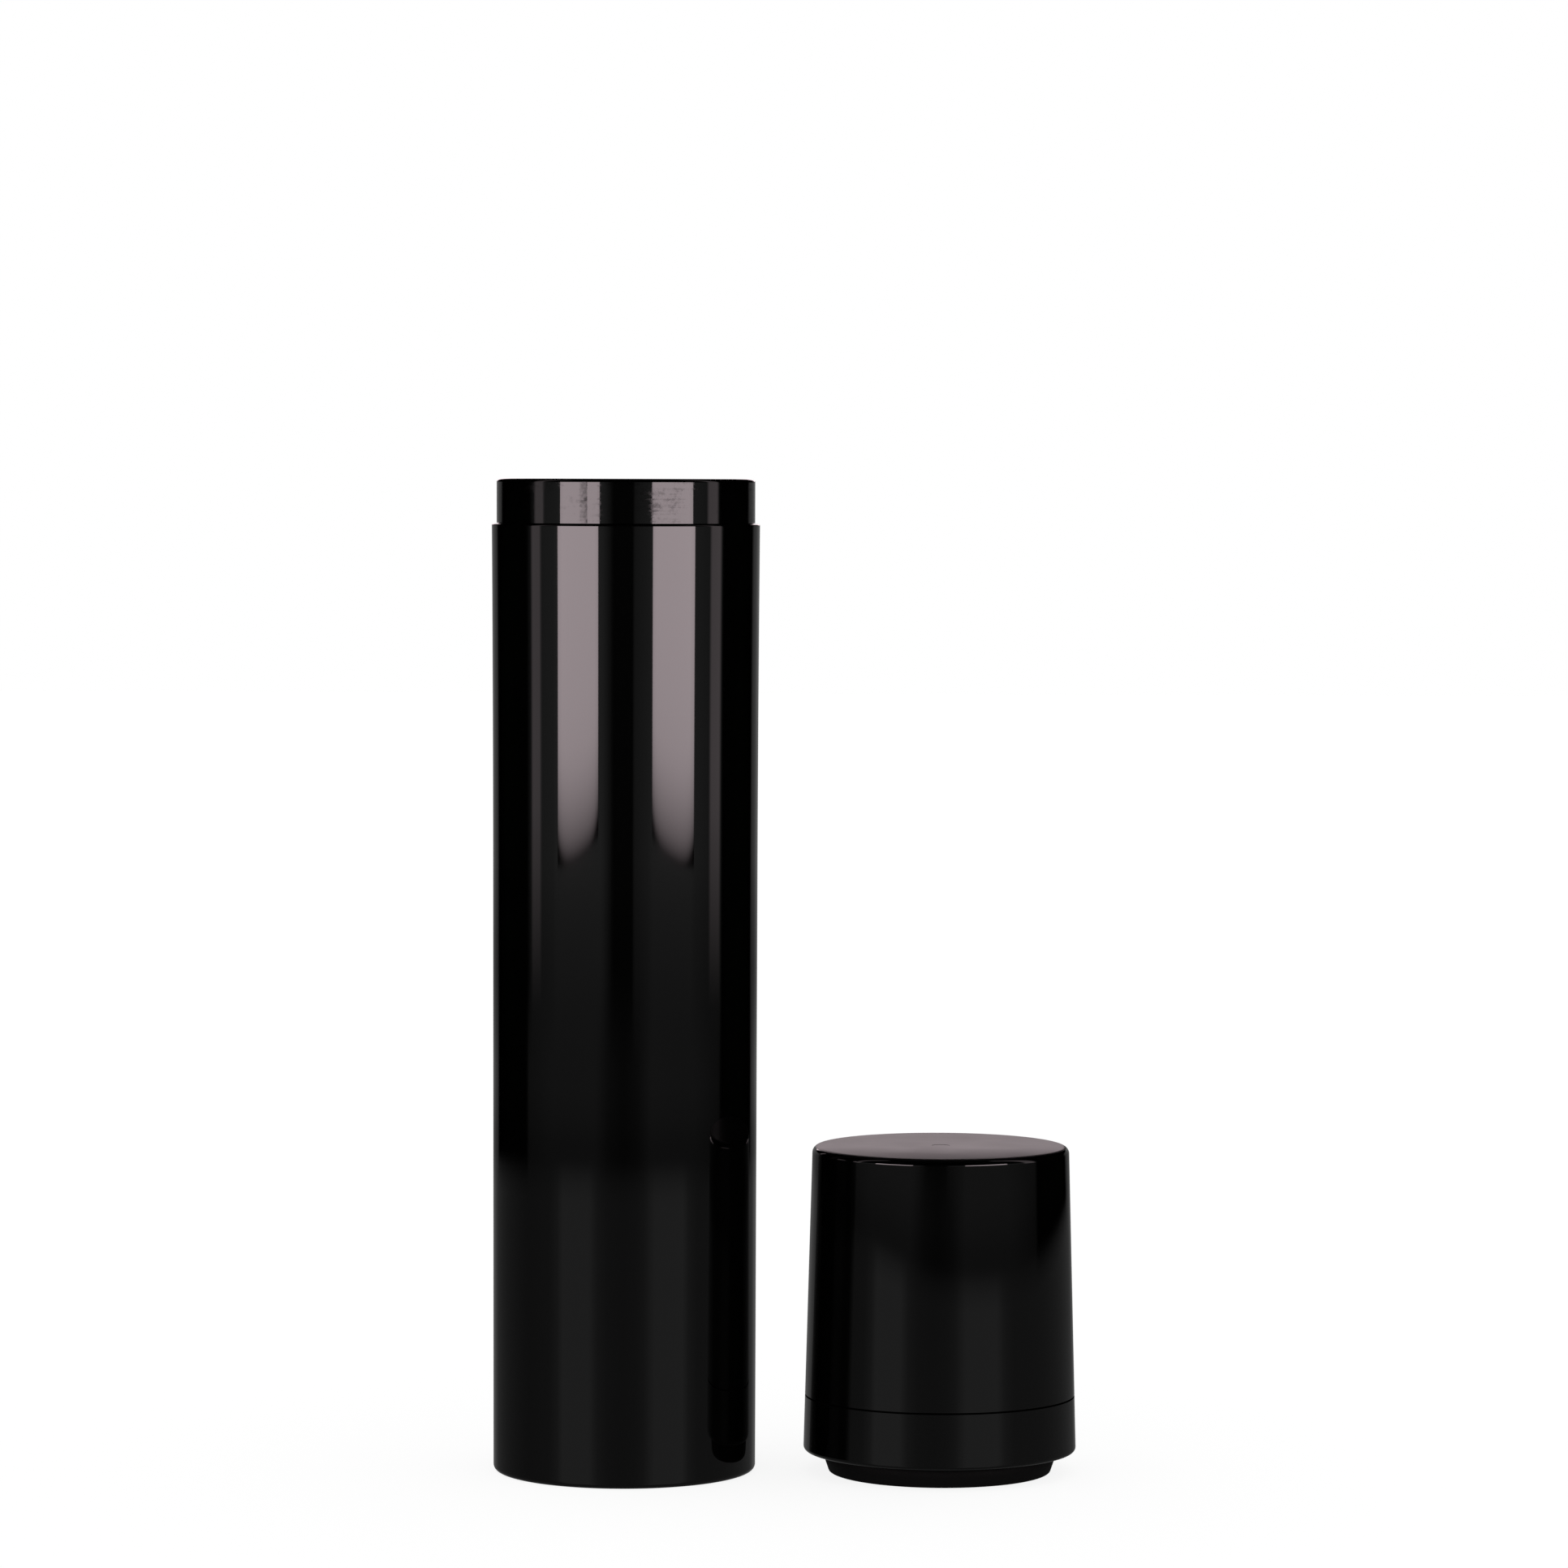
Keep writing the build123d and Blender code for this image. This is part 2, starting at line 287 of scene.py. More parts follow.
def select_faces(piece, wanted):
    """Selects the faces that pass a test, and no others."""
    bpy.ops.mesh.select_mode(type="FACE")
    bpy.ops.mesh.select_all(action="DESELECT")
    for face in bmesh.from_edit_mesh(piece.data).faces:
        face.select_set(wanted(face))
    bmesh.update_edit_mesh(piece.data)


def round_ring(piece, centre, radius, height, width, segments=6):
    """Bevels one ring of edges into a round corner."""
    select_ring(piece, centre, radius, height)
    bpy.ops.mesh.bevel(offset=width, offset_type="OFFSET", segments=segments, profile=0.5,
                       affect="EDGES")


def bead_section(radius_at, height, width, depth):
    """The four points of a shallow bead or groove on a wall, from its lower end up."""
    return [
        (radius_at(height - width / 2), height - width / 2),
        (radius_at(height) + depth, height - width / 4),
        (radius_at(height) + depth, height + width / 4),
        (radius_at(height + width / 2), height + width / 2),
    ]


def close_piece(piece):
    """Merges doubles, turns every face outwards and smooths the rounds."""
    bpy.ops.mesh.select_mode(type="FACE")
    bpy.ops.mesh.select_all(action="SELECT")
    bpy.ops.mesh.remove_doubles(threshold=1e-7)
    bpy.ops.mesh.normals_make_consistent(inside=False)
    bpy.ops.object.mode_set(mode="OBJECT")
    bpy.ops.object.shade_smooth_by_angle(angle=SMOOTH_ANGLE)
    # Long walls keep their own direction right up to the small rounds beside them.
    modifier = piece.modifiers.new("Weighted", "WEIGHTED_NORMAL")
    modifier.keep_sharp = True
    modifier.weight = 100
    bpy.ops.object.modifier_apply(modifier=modifier.name)


def place_piece(piece, body, node, slot, *materials):
    """Gives a finished piece its materials and body, and hides the CAD node it stands for; the slot is
    not used.
    """
    for material in materials:
        piece.data.materials.append(material)
    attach(piece, body)
    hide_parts(node)


# --------------------------------------------------------------- shader nodes
ABS_IOR = 1.53
POLYETHYLENE_IOR = 1.51
SILICONE_IOR = 1.41


def add_node(tree, kind, settings=None, stops=()):
    """Adds a node.

    A setting is one of the node's own properties or, by an input's name or number, that
    input's value or what feeds it: an output, or a node for its first output. Stops are
    a colour ramp's grey levels, given as (place, level).
    """
    node = tree.nodes.new(kind)
    for key, value in (settings or {}).items():
        if isinstance(value, bpy.types.Node):
            value = value.outputs[0]
        if isinstance(value, bpy.types.NodeSocket):
            tree.links.new(value, node.inputs[key])
        elif isinstance(key, int) or key in node.inputs:
            node.inputs[key].default_value = value
        else:
            setattr(node, key, value)
    if stops:
        elements = node.color_ramp.elements
        elements.remove(elements[-1])
        for number, (place, grey) in enumerate(stops):
            element = elements[0] if number == 0 else elements.new(place)
            element.position = place
            element.color = (grey, grey, grey, 1)
    return node


def blank_material(name):
    """A material with an empty node tree, and that tree."""
    material = bpy.data.materials.new(name)
    material.use_nodes = True
    material.node_tree.nodes.clear()
    return material, material.node_tree


def own_axes(tree):
    """The object's own coordinates, split."""
    place = add_node(tree, "ShaderNodeTexCoord")
    return add_node(tree, "ShaderNodeSeparateXYZ", {0: place.outputs["Object"]}).outputs


def grain(tree, millimetres, up=1.0, detail=3.0):
    """Noise on the piece's own coordinates, with a grain of about this many millimetres.

    Upwards the grain is finer where `up` is over 1, and longer where it is under 1.
    """
    place = add_node(tree, "ShaderNodeTexCoord")
    mapping = add_node(tree, "ShaderNodeMapping",
                       {"Scale": (1.0, 1.0, up), "Vector": place.outputs["Object"]})
    return add_node(tree, "ShaderNodeTexNoise",
                    {"Scale": 1 / (millimetres * MM), "Detail": detail, "Vector": mapping})


def polished_abs(name, base, polish):
    """ABS, injection moulded in a polished tool: near black, with clear reflections.

    The eye sees the softboxes as sharp bars, only just unsteady at their edges where
    the wall has sunk by up to 0.02 mm, and a faint haze where it has been handled.
    """
    haze_roughness = 0.01
    material, tree = blank_material(name)
    sink = grain(tree, 26, up=0.45, detail=1.0)
    bump = add_node(tree, "ShaderNodeBump", {"Strength": 1.0, "Distance": 0.02 * MM, "Height": sink})
    haze = grain(tree, 9, detail=5.0)
    rough = add_node(tree, "ShaderNodeMapRange", {
        "From Min": 0.35, "From Max": 0.75, "To Min": polish, "To Max": polish + haze_roughness,
        "Value": haze,
    })
    shader = add_node(tree, "ShaderNodeBsdfPrincipled", {
        "Base Color": (*base, 1), "IOR": ABS_IOR, "Roughness": rough, "Normal": bump,
    })
    add_node(tree, "ShaderNodeOutputMaterial", {"Surface": shader})
    return material


def rubbed_abs(name, base, polish, rub):
    """ABS out of a polished tool, rubbed by the lid going on and off: the neck.

    The eye sees the same bars as on the shell, a little dimmer. Fine level lines from the
    lid's turning and small dull specks grey them in places, and one dull upright streak
    near the front marks where the melt met. The real lines are about 0.05 mm apart and
    are drawn at about 0.3 mm, so that they show.
    """
    streak_left, streak_right = -5.9 * MM, -4.6 * MM
    streak_levels = ((0.0, 0.0), (0.3, 0.6), (0.9, 1.1), (1.0, 0.0))
    marks_depth, waves_depth = 0.02, 0.6
    material, tree = blank_material(name)
    lines = grain(tree, 9, up=30.0, detail=2.0)
    specks = grain(tree, 0.5, detail=2.0)
    patches = grain(tree, 5, up=0.8, detail=2.0)
    waves = grain(tree, 2.6, up=0.05, detail=0.0)
    marks = add_node(tree, "ShaderNodeMath", {"operation": "ADD", 0: lines, 1: specks})
    marks = add_node(tree, "ShaderNodeMath", {"operation": "MULTIPLY", 0: marks, 1: patches})
    streak = add_node(tree, "ShaderNodeMapRange", {
        "From Min": streak_left, "From Max": streak_right, "Value": own_axes(tree)[0],
    })
    streak = add_node(tree, "ShaderNodeValToRGB", {"Fac": streak}, streak_levels)
    streak = add_node(tree, "ShaderNodeMath", {"operation": "MULTIPLY", 0: streak, 1: specks})
    worn = add_node(tree, "ShaderNodeMapRange",
                    {"From Min": 0.5, "From Max": 0.8, "To Max": 0.45, "Value": marks})
    worn = add_node(tree, "ShaderNodeMath", {"operation": "ADD", 0: worn, 1: streak})
    rough = add_node(tree, "ShaderNodeMapRange", {"To Min": polish, "To Max": rub, "Value": worn})
    fine = add_node(tree, "ShaderNodeMath", {"operation": "MULTIPLY", 0: marks, 1: marks_depth})
    broad = add_node(tree, "ShaderNodeMath", {"operation": "MULTIPLY", 0: waves, 1: waves_depth})
    height = add_node(tree, "ShaderNodeMath", {"operation": "ADD", 0: fine, 1: broad})
    bump = add_node(tree, "ShaderNodeBump", {"Strength": 1.0, "Distance": 0.03 * MM, "Height": height})
    shader = add_node(tree, "ShaderNodeBsdfPrincipled", {
        "Base Color": (*base, 1), "IOR": ABS_IOR, "Specular IOR Level": 0.46,
        "Roughness": rough, "Normal": bump,
    })
    add_node(tree, "ShaderNodeOutputMaterial", {"Surface": shader})
    return material


def satin_abs(name, base, satin, gloss=0.5):
    """ABS against a finely sparked face of the tool: the satin top of the cover.

    The eye sees a grey sheen with no image in it, a little duller towards the front edge,
    where the tool was sparked more coarsely. The grain is about 0.05 mm and is drawn at
    about 0.3 mm, so that it shows.
    """
    duller_from, duller_to, duller_by = -4 * MM, -19 * MM, 0.2
    cloudy = 0.02
    material, tree = blank_material(name)
    sparks = grain(tree, 0.3, detail=2.0)
    cloud = grain(tree, 7, detail=3.0)
    coarse = add_node(tree, "ShaderNodeMapRange", {
        "From Min": duller_from, "From Max": duller_to, "To Max": duller_by,
        "Value": own_axes(tree)[1],
    })
    even = add_node(tree, "ShaderNodeMapRange", {
        "From Min": 0.3, "From Max": 0.7, "To Min": satin - cloudy, "To Max": satin + cloudy,
        "Value": cloud,
    })
    rough = add_node(tree, "ShaderNodeMath", {"operation": "ADD", 0: even, 1: coarse})
    bump = add_node(tree, "ShaderNodeBump",
                    {"Strength": 0.6, "Distance": 0.004 * MM, "Height": sparks})
    shader = add_node(tree, "ShaderNodeBsdfPrincipled", {
        "Base Color": (*base, 1), "IOR": ABS_IOR, "Specular IOR Level": gloss,
        "Roughness": rough, "Normal": bump,
    })
    add_node(tree, "ShaderNodeOutputMaterial", {"Surface": shader})
    return material


def sparked_polyethylene(name, base, matte):
    """Polyethylene out of a coarsely sparked tool: the plug.

    The eye sees a dull black with no image in it, a little uneven.
    """
    cloudy = 0.08
    material, tree = blank_material(name)
    sparks = grain(tree, 0.35, detail=2.0)
    bump = add_node(tree, "ShaderNodeBump", {"Strength": 0.8, "Distance": 0.02 * MM, "Height": sparks})
    cloud = grain(tree, 5, detail=3.0)
    rough = add_node(tree, "ShaderNodeMapRange",
                     {"To Min": matte - cloudy, "To Max": matte + cloudy, "Value": cloud})
    shader = add_node(tree, "ShaderNodeBsdfPrincipled", {
        "Base Color": (*base, 1), "IOR": POLYETHYLENE_IOR, "Specular IOR Level": 0.2,
        "Roughness": rough, "Normal": bump,
    })
    add_node(tree, "ShaderNodeOutputMaterial", {"Surface": shader})
    return material


def moulded_silicone(name, base):
    """Silicone rubber, moulded: a soft grey skin that picks up a little dust."""
    dust_brightness = 1.6
    material, tree = blank_material(name)
    dust = grain(tree, 1.2, detail=6.0)
    rough = add_node(tree, "ShaderNodeMapRange", {"To Min": 0.45, "To Max": 0.7, "Value": dust})
    tint = add_node(tree, "ShaderNodeMixRGB", {
        "Fac": dust, "Color1": (*base, 1), "Color2": (*[dust_brightness * c for c in base], 1),
    })
    shader = add_node(tree, "ShaderNodeBsdfPrincipled",
                      {"IOR": SILICONE_IOR, "Base Color": tint, "Roughness": rough})
    add_node(tree, "ShaderNodeOutputMaterial", {"Surface": shader})
    return material


# -------------------------------------------------------------- worked-out sizes
def shoulder_radius():
    """The widest radius of the shell, as packed."""
    return min(SHELL_HIGH.x, -SHELL_LOW.x)


def shell_inside(sizes, height):
    """Radius of the shell's inner wall at a height."""
    foot = shoulder_radius() - sizes.foot_inset - sizes.shell_wall
    mouth = shoulder_radius() - sizes.shell_wall
    share = (height - sizes.shell_floor) / (SHELL_HIGH.z - sizes.shell_floor)
    return foot + share * (mouth - foot)


def lid_side(sizes, height):
    """Radius of the lid's sloping side at a height. It is widest just above the rim's round."""
    widest = (COLLAR_HIGH.x - COLLAR_LOW.x) / 2
    return widest - (height - RIM_Z - sizes.rim_round) * math.tan(sizes.draft)


def cover_inside(sizes, height):
    """Radius of the cover's inner wall at a height."""
    return lid_side(sizes, height) - sizes.cover_wall


def collar_ring(sizes, fit, height):
    """Radius of the collar's ring, where it fits inside the cover."""
    return cover_inside(sizes, height) - fit


# ------------------------------------------------------------------- operators
class CANISTER_OT_shell(bpy.types.Operator):
    """Model the canister's gloss outer shell"""

    bl_idname = "canister.shell"
    bl_label = "Outer shell"

    def execute(self, context):
        sizes = context.scene.canister_sizes
        finishes = context.scene.canister_finishes
        shoulder = shoulder_radius()
        foot = shoulder - sizes.foot_inset
        waist = shoulder - sizes.waist_inset
        rim_z = SHELL_HIGH.z
        slope = (waist - foot) / sizes.waist_height
        rise = rim_z - sizes.waist_height
        bend = (shoulder - waist - slope * rise) / rise ** 2
        section = [(foot, 0.0), (waist, sizes.waist_height)]
        flare_steps = 10
        for step in range(1, flare_steps + 1):
            up = rise * step / flare_steps
            section.append((waist + slope * up + bend * up ** 2, sizes.waist_height + up))
        section.append((shell_inside(sizes, rim_z), rim_z))
        groove = bead_section(
            lambda height: shell_inside(sizes, height), rim_z - sizes.bead_drop,
            sizes.bead_width + 2 * sizes.fit, sizes.bead_height + sizes.fit,
        )
        section += groove[::-1]
        floor_corner = (shell_inside(sizes, sizes.shell_floor), sizes.shell_floor)
        section.append(floor_corner)
        piece = draw_piece("gloss_shell", CANISTER_MIDDLE, section)
        round_ring(piece, CANISTER_MIDDLE, foot, 0.0, sizes.foot_round, 8)
        round_ring(piece, CANISTER_MIDDLE, shoulder, rim_z, sizes.shoulder_round)
        round_ring(piece, CANISTER_MIDDLE, *floor_corner, sizes.inner_round)
        close_piece(piece)
        material = polished_abs("polished_abs_shell", finishes.shell_colour, finishes.polish)
        place_piece(piece, "canister", "outer_shell", "shell_black", material)
        return {"FINISHED"}


class CANISTER_OT_liner(bpy.types.Operator):
    """Model the liner, whose top is the neck"""

    bl_idname = "canister.liner"
    bl_label = "Liner and neck"

    def execute(self, context):
        sizes = context.scene.canister_sizes
        finishes = context.scene.canister_finishes
        shoulder = shoulder_radius()
        shoulder_z, mouth_z, foot_z = SHELL_HIGH.z, LINER_HIGH.z, LINER_LOW.z
        neck = shoulder - sizes.shoulder_step
        bore = neck - sizes.neck_wall
        foot = shell_inside(sizes, sizes.shell_floor) - sizes.liner_gap
        floor_z = foot_z + sizes.liner_floor
        spigot_z = shoulder_z - sizes.spigot
        spigot_foot = shell_inside(sizes, spigot_z)
        section = [
            (foot, foot_z),
            (spigot_foot - sizes.liner_gap, spigot_z - sizes.liner_gap),
            (spigot_foot - sizes.fit, spigot_z),
            *bead_section(
                lambda height: shell_inside(sizes, height) - sizes.fit,
                shoulder_z - sizes.bead_drop, sizes.bead_width, sizes.bead_height,
            ),
            (shell_inside(sizes, shoulder_z) - sizes.fit, shoulder_z),
            (neck - sizes.seam_relief, shoulder_z),
            (neck, shoulder_z + sizes.seam_relief),
            (neck, mouth_z),
            (bore, mouth_z),
            (bore, mouth_z - sizes.seal_land),
            (foot - sizes.liner_wall, floor_z),
        ]
        piece = draw_piece("neck_liner", CANISTER_MIDDLE, section)
        round_ring(piece, CANISTER_MIDDLE, foot, foot_z, sizes.inner_round)
        round_ring(piece, CANISTER_MIDDLE, neck, mouth_z, sizes.neck_round)
        round_ring(piece, CANISTER_MIDDLE, bore, mouth_z, sizes.mouth_round)
        round_ring(piece, CANISTER_MIDDLE, foot - sizes.liner_wall, floor_z, sizes.bore_round)
        close_piece(piece)
        material = rubbed_abs("rubbed_abs_neck", finishes.liner_colour, finishes.polish, finishes.rub)
        place_piece(piece, "canister", "inner_liner", "liner_black", material)
        return {"FINISHED"}


def make_rib(sizes, plug_top, collar_top, roof, fit):
    """One hold-down rib, made of a block pulled up to the roof and out to the wall."""
    outer = collar_ring(sizes, fit, collar_top) - sizes.ring_wall - fit
    inner = outer - sizes.rib_depth
    low, shelf = plug_top + fit, collar_top + fit
    wall = cover_inside(sizes, shelf) + sizes.rib_buried
    bpy.ops.object.select_all(action="DESELECT")
    bpy.ops.mesh.primitive_cube_add(
        size=1, location=(LID_MIDDLE[0] + (inner + outer) / 2, LID_MIDDLE[1], (low + shelf) / 2),
        scale=(outer - inner, sizes.rib_thickness, shelf - low),
    )
    rib = bpy.context.object
    bpy.ops.object.transform_apply(location=True, rotation=True, scale=True)
    bpy.ops.object.mode_set(mode="EDIT")
    select_faces(rib, lambda face: face.normal.z > 0.9)
    bpy.ops.mesh.extrude_region_move(
        TRANSFORM_OT_translate={"value": (0, 0, roof + sizes.cover_roof / 2 - shelf)},
    )
    select_faces(rib, lambda face: face.normal.x > 0.9 and face.calc_center_median().z > shelf)
    bpy.ops.mesh.extrude_region_move(TRANSFORM_OT_translate={"value": (wall - outer, 0, 0)})
    bpy.ops.mesh.select_all(action="SELECT")
    bpy.ops.mesh.normals_make_consistent(inside=False)
    bpy.ops.object.mode_set(mode="OBJECT")
    return rib


class CANISTER_OT_lid_cover(bpy.types.Operator):
    """Model the lid's tall cover, with its satin top and the ribs under its roof"""

    bl_idname = "canister.lid_cover"
    bl_label = "Lid cover"

    # Rings of the crowned top, as shares of its radius, from its edge inwards.
    CROWN_SHARES = (1.0, 0.9, 0.8, 0.7, 0.6, 0.5, 0.35)
    # The crown falls as this power of the share.
    CROWN_POWER = 3
    # Faces of the top whose normal rises more than this are satin.
    SATIN_RISE = 0.85

    def execute(self, context):
        sizes = context.scene.canister_lid
        finishes = context.scene.canister_finishes
        fit = context.scene.canister_sizes.fit
        bead_width = context.scene.canister_sizes.bead_width
        bead_height = context.scene.canister_sizes.bead_height
        top_z = COVER_HIGH.z
        edge = lid_side(sizes, top_z - sizes.crown)
        roof_z = top_z - sizes.cover_roof
        roof_corner = (cover_inside(sizes, roof_z), roof_z)
        groove = bead_section(
            lambda height: cover_inside(sizes, height), SEAM_Z + sizes.bead_rise,
            bead_width + 2 * fit, bead_height + fit,
        )
        section = [
            roof_corner,
            *groove[::-1],
            (cover_inside(sizes, SEAM_Z), SEAM_Z),
            (lid_side(sizes, SEAM_Z), SEAM_Z),
            *[(edge * share, top_z - sizes.crown * share ** self.CROWN_POWER)
              for share in self.CROWN_SHARES],
            (sizes.gate_radius, top_z),
            (sizes.gate_radius - sizes.gate_depth, top_z - sizes.gate_depth),
        ]
        piece = draw_piece("lid_cap", LID_MIDDLE, section)
        round_ring(piece, LID_MIDDLE, *roof_corner, sizes.cover_round)
        round_ring(piece, LID_MIDDLE, lid_side(sizes, SEAM_Z), SEAM_Z, sizes.edge_break, 2)
        round_ring(piece, LID_MIDDLE, edge, top_z - sizes.crown, sizes.top_round, 10)
        bpy.ops.mesh.select_all(action="SELECT")
        bpy.ops.mesh.normals_make_consistent(inside=False)
        bpy.ops.object.mode_set(mode="OBJECT")
        self.add_ribs(context, piece, roof_z)
        bpy.ops.object.mode_set(mode="EDIT")
        close_piece(piece)
        polished = polished_abs("polished_abs_lid", finishes.cover_colour, finishes.polish)
        satin = satin_abs("satin_abs_top", finishes.cover_colour, finishes.satin)
        place_piece(piece, "lid", "lid_cover", "cover_black", polished, satin)
        for face in piece.data.polygons:
            if face.normal.z > self.SATIN_RISE and face.center.z > roof_z + sizes.cover_roof / 2:
                face.material_index = 1
        return {"FINISHED"}

    def add_ribs(self, context, piece, roof_z):
        """Joins the ribs to the cover: one is modelled, and the rest are turned copies."""
        sizes = context.scene.canister_lid
        fit = context.scene.canister_sizes.fit
        rib = make_rib(sizes, PLUG_HIGH.z, COLLAR_HIGH.z, roof_z, fit)
        ribs = [rib]
        for number in range(1, sizes.ribs):
            copy = rib.copy()
            copy.data = rib.data.copy()
            context.scene.collection.objects.link(copy)
            bpy.ops.object.select_all(action="DESELECT")
            copy.select_set(True)
            context.view_layer.objects.active = copy
            bpy.ops.transform.rotate(
                value=math.tau * number / sizes.ribs, orient_axis="Z", center_override=(*LID_MIDDLE, 0),
            )
            bpy.ops.object.transform_apply(location=True, rotation=True, scale=True)
            ribs.append(copy)
        bpy.ops.object.select_all(action="DESELECT")
        piece.select_set(True)
        context.view_layer.objects.active = piece
        for rib in ribs:
            modifier = piece.modifiers.new("Rib", "BOOLEAN")
            modifier.operation = "UNION"
            modifier.solver = "EXACT"
            modifier.object = rib
            bpy.ops.object.modifier_apply(modifier=modifier.name)
            bpy.data.objects.remove(rib)


class CANISTER_OT_lid_collar(bpy.types.Operator):
    """Model the band below the seam: its skirt, flange and ring"""

    bl_idname = "canister.lid_collar"
    bl_label = "Lid collar"

    def execute(self, context):
        sizes = context.scene.canister_lid
        finishes = context.scene.canister_finishes
        general = context.scene.canister_sizes
        rim = lid_side(sizes, RIM_Z)
        band_top = SEAM_Z - sizes.seam_width
        groove = lid_side(sizes, SEAM_Z) - sizes.seam_depth
        ring_top = COLLAR_HIGH.z
        ring_inner = collar_ring(sizes, general.fit, ring_top) - sizes.ring_wall
        flange_z = SEAM_Z - sizes.flange
        section = [
            (sizes.skirt_radius, RIM_Z),
            (rim, RIM_Z),
            (lid_side(sizes, band_top), band_top),
            (groove, band_top),
            (groove, SEAM_Z),
            (collar_ring(sizes, general.fit, SEAM_Z), SEAM_Z),
            *bead_section(
                lambda height: collar_ring(sizes, general.fit, height),
                SEAM_Z + sizes.bead_rise, general.bead_width, general.bead_height,
            ),
            (collar_ring(sizes, general.fit, ring_top), ring_top),
            (ring_inner, ring_top),
            (ring_inner, SEAM_Z),
            (sizes.plug_radius + general.fit, SEAM_Z),
            (sizes.plug_radius + general.fit, flange_z),
            (sizes.skirt_radius, flange_z),
        ]
        piece = draw_piece("lid_band", LID_MIDDLE, section)
        self.open_up(piece, sizes.skirt_radius, (RIM_Z, flange_z))
        round_ring(piece, LID_MIDDLE, rim, RIM_Z, sizes.rim_round, 8)
        round_ring(piece, LID_MIDDLE, sizes.skirt_radius, RIM_Z, sizes.rim_bevel, 1)
        round_ring(piece, LID_MIDDLE, lid_side(sizes, band_top), band_top, sizes.edge_break, 2)
        close_piece(piece)
        polished = polished_abs("polished_abs_band", finishes.cover_colour, finishes.polish)
        # The seam's faces have a tenth of the gloss: painted shade in the open line.
        matte = satin_abs("seam_painted_shade", finishes.cover_colour, finishes.seam, gloss=0.05)
        place_piece(piece, "lid", "lid_collar", "collar_black", polished, matte)
        # The faces inside the open line were never polished, and their gloss is cut to a tenth: painted
        # shade that darkens the line.
        for face in piece.data.polygons:
            if abs(face.center.z - SEAM_Z + sizes.seam_width / 2) < 0.6 * sizes.seam_width:
                face.material_index = 1
        return {"FINISHED"}

    def open_up(self, piece, radius, heights):
        """Takes out the two end discs and joins their rims, so that the band is open."""
        select_faces(piece, lambda face: len(face.verts) == SIDES)
        bpy.ops.mesh.delete(type="ONLY_FACE")
        for height in heights:
            select_ring(piece, LID_MIDDLE, radius, height)
            if height == heights[0]:
                first = [e.index for e in bmesh.from_edit_mesh(piece.data).edges if e.select]
        mesh = bmesh.from_edit_mesh(piece.data)
        mesh.edges.ensure_lookup_table()
        for index in first:
            mesh.edges[index].select_set(True)
        bmesh.update_edit_mesh(piece.data)
        bpy.ops.mesh.bridge_edge_loops()


class CANISTER_OT_lid_plug(bpy.types.Operator):
    """Model the matte stopper plug"""

    bl_idname = "canister.lid_plug"
    bl_label = "Plug"

    def execute(self, context):
        sizes = context.scene.canister_lid
        finishes = context.scene.canister_finishes
        fit = context.scene.canister_sizes.fit
        low, high = PLUG_LOW.z, PLUG_HIGH.z
        end = sizes.plug_radius - sizes.lead_in_depth
        lead_in_z = low + sizes.lead_in_height
        groove_low = RING_LOW.z - sizes.groove_fit
        groove_high = RING_HIGH.z + sizes.groove_fit
        flange = collar_ring(sizes, fit, COLLAR_HIGH.z) - sizes.ring_wall - fit
        inside = sizes.ring_groove - sizes.plug_wall
        floor_z = low + sizes.plug_floor
        section = [
            (end, low),
            (sizes.plug_radius, lead_in_z),
            (sizes.plug_radius, groove_low),
            (sizes.ring_groove, groove_low),
            (sizes.ring_groove, groove_high),
            (sizes.plug_radius, groove_high),
            (sizes.plug_radius, high - sizes.plug_flange),
            (flange, high - sizes.plug_flange),
            (flange, high),
            (inside, high),
            (inside, floor_z),
        ]
        piece = draw_piece("stopper_plug", LID_MIDDLE, section)
        round_ring(piece, LID_MIDDLE, end, low, sizes.lead_in_edge)
        round_ring(piece, LID_MIDDLE, sizes.plug_radius, lead_in_z, sizes.lead_in_blend)
        round_ring(piece, LID_MIDDLE, inside, floor_z, sizes.plug_round)
        close_piece(piece)
        material = sparked_polyethylene("sparked_polyethylene", finishes.plug_colour, finishes.matte)
        place_piece(piece, "lid", "lid_plug", "plug_black", material)
        return {"FINISHED"}


class CANISTER_OT_seal_ring(bpy.types.Operator):
    """Model the soft ring round the plug, by spinning its round section"""

    bl_idname = "canister.seal_ring"
    bl_label = "Seal ring"

    def execute(self, context):
        finishes = context.scene.canister_finishes
        thickness = RING_HIGH.z - RING_LOW.z
        height = (RING_HIGH.z + RING_LOW.z) / 2
        middle = (RING_HIGH.x - RING_LOW.x) / 2 - thickness / 2
        bpy.ops.object.select_all(action="DESELECT")
        bpy.ops.mesh.primitive_circle_add(
            vertices=24, radius=thickness / 2, location=(LID_MIDDLE[0] + middle, LID_MIDDLE[1], height),
            rotation=(math.pi / 2, 0, 0),
        )
        piece = bpy.context.object
        piece.name = piece.data.name = "sealing_ring"
        bpy.ops.object.transform_apply(location=True, rotation=True, scale=True)
        bpy.ops.object.mode_set(mode="EDIT")
        bpy.ops.mesh.select_all(action="SELECT")
        bpy.ops.mesh.spin(steps=SIDES // 2, angle=math.tau, center=(*LID_MIDDLE, height), axis=(0, 0, 1))
        close_piece(piece)
        material = moulded_silicone("moulded_silicone", finishes.ring_colour)
        place_piece(piece, "lid", "seal_ring", "seal_grey", material)
        return {"FINISHED"}


# ---------------------------------------------------------------------- studio
def bearing(degrees):
    """Place on a ramp of the direction straight ahead plus degrees towards the lid."""
    return 0.5 + degrees / 360


